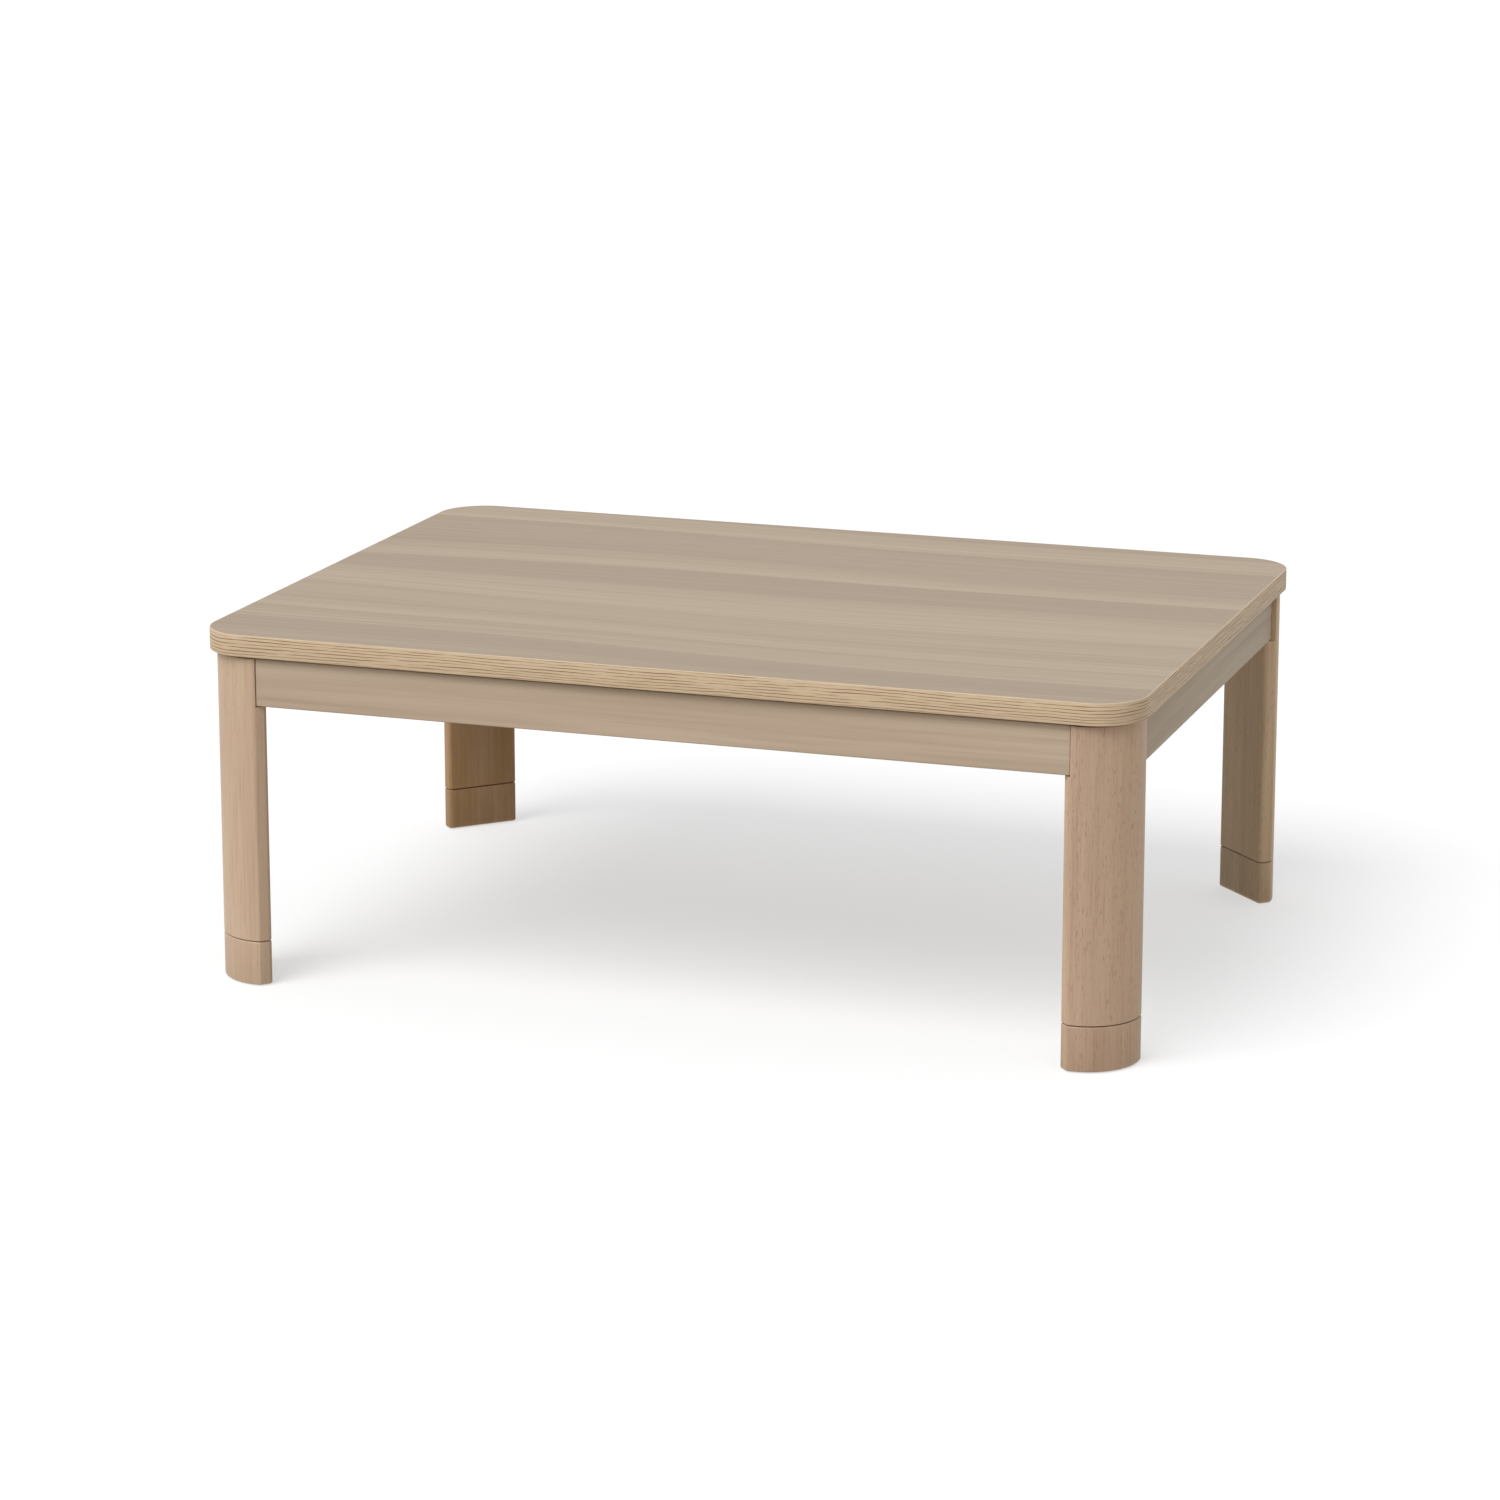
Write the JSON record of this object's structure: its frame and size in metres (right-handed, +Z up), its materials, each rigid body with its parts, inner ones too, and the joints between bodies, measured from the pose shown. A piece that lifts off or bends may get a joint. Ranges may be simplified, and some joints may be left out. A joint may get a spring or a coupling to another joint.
{
  "type": "kotatsu table",
  "caption": "Low heated table: lift-off round-cornered top, notched quarter-round legs on pull-off feet, aprons, and an electric quartz heater with fan hung under the middle.",
  "frame": {"origin": "middle of the footprint, on the floor under the feet", "axes": "+X along the long side, +Y towards the back, +Z up"},
  "size_m": [1.05, 0.75, 0.395],
  "materials": {
    "top_sheet": "wood-grain printed sheet, satin",
    "top_edge": "oak-print edge tape, satin",
    "board": "fibreboard, raw",
    "backing": "plain backing sheet, matt",
    "apron_wood": "printed wood grain, satin",
    "leg_wood": "solid rubberwood, clear lacquer",
    "rail_wood": "sawn softwood",
    "dowel_wood": "beech, fluted",
    "bracket_steel": "zinc-plated sheet",
    "fastener_steel": "zinc-plated",
    "bumper_rubber": "translucent grey elastomer",
    "glide_felt": "brown felt",
    "heater_steel": "zinc-plated pressed sheet, dull",
    "heater_black": "black heat-proof resin, fine texture",
    "reflector_metal": "bright pressed sheet",
    "guard_wire": "black baked enamel",
    "quartz": "milky quartz tube",
    "coil_wire": "oxidised resistance wire",
    "cap_ceramic": "unglazed",
    "holder_steel": "zinc-plated sheet",
    "motor_steel": "zinc-plated can",
    "wheel_metal": "pressed sheet",
    "terminal_resin": "off-white resin",
    "thermostat_resin": "phenolic, dark",
    "fuse_metal": "plain",
    "inlet_resin": "black heat-proof resin",
    "contact_brass": "nickel-flashed",
    "lead_rubber": "white silicone insulation"
  },
  "bodies": {
    "frame": {"front_apron": "apron_wood", "back_apron": "apron_wood", "left_apron": "apron_wood", "right_apron": "apron_wood", "left_rail": "rail_wood", "right_rail": "rail_wood", "front_rail": "rail_wood", "back_rail": "rail_wood", "bracket_screws": "fastener_steel", "hanger_bolts": "fastener_steel", "leg_nuts_and_washers": "fastener_steel", "leg_inserts": "fastener_steel", "rail_dowels": "dowel_wood", "top_bumpers": "bumper_rubber", "heater_housing": "heater_steel", "heater_bezel": "heater_black", "heater_reflector": "reflector_metal", "heater_guard": "guard_wire", "heater_screws": "fastener_steel", "quartz_tubes": "quartz", "heating_coils": "coil_wire", "tube_end_caps": "cap_ceramic", "tube_holders": "holder_steel", "fan_motor": "motor_steel", "terminal_block": "terminal_resin", "thermostat": "thermostat_resin", "thermal_fuse": "fuse_metal", "power_inlet": "inlet_resin", "brass_contacts": "contact_brass", "heater_leads": "lead_rubber", "front_left_leg": "leg_wood", "front_left_bracket": "bracket_steel", "front_right_leg": "leg_wood", "front_right_bracket": "bracket_steel", "back_left_leg": "leg_wood", "back_left_bracket": "bracket_steel", "back_right_leg": "leg_wood", "back_right_bracket": "bracket_steel"},
    "tabletop": {"top_board": "board", "top_sheet": "top_sheet", "bottom_sheet": "backing", "edge_band": "top_edge"},
    "fan": {"fan_shaft": "fastener_steel", "fan_wheel": "wheel_metal"},
    "front_left_foot": {"front_left_foot": "leg_wood", "front_left_foot_bolt": "fastener_steel", "front_left_foot_dowels": "dowel_wood", "front_left_glide": "glide_felt"},
    "front_right_foot": {"front_right_foot": "leg_wood", "front_right_foot_bolt": "fastener_steel", "front_right_foot_dowels": "dowel_wood", "front_right_glide": "glide_felt"},
    "back_left_foot": {"back_left_foot": "leg_wood", "back_left_foot_bolt": "fastener_steel", "back_left_foot_dowels": "dowel_wood", "back_left_glide": "glide_felt"},
    "back_right_foot": {"back_right_foot": "leg_wood", "back_right_foot_bolt": "fastener_steel", "back_right_foot_dowels": "dowel_wood", "back_right_glide": "glide_felt"}
  },
  "joints": [
    {"name": "top_lift", "type": "slide", "parent": "frame", "child": "tabletop", "axis": [0, 0, 1], "range_m": [0, 0.15]},
    {"name": "fan_spin", "type": "hinge", "parent": "frame", "child": "fan", "pos_m": [0, 0, 0.339], "axis": [0, 0, 1], "continuous": true},
    {"name": "front_left_foot_pull", "type": "slide", "parent": "frame", "child": "front_left_foot", "axis": [0, 0, -1], "range_m": [0, 0.04]},
    {"name": "front_right_foot_pull", "type": "slide", "parent": "frame", "child": "front_right_foot", "axis": [0, 0, -1], "range_m": [0, 0.04]},
    {"name": "back_left_foot_pull", "type": "slide", "parent": "frame", "child": "back_left_foot", "axis": [0, 0, -1], "range_m": [0, 0.04]},
    {"name": "back_right_foot_pull", "type": "slide", "parent": "frame", "child": "back_right_foot", "axis": [0, 0, -1], "range_m": [0, 0.04]}
  ]
}
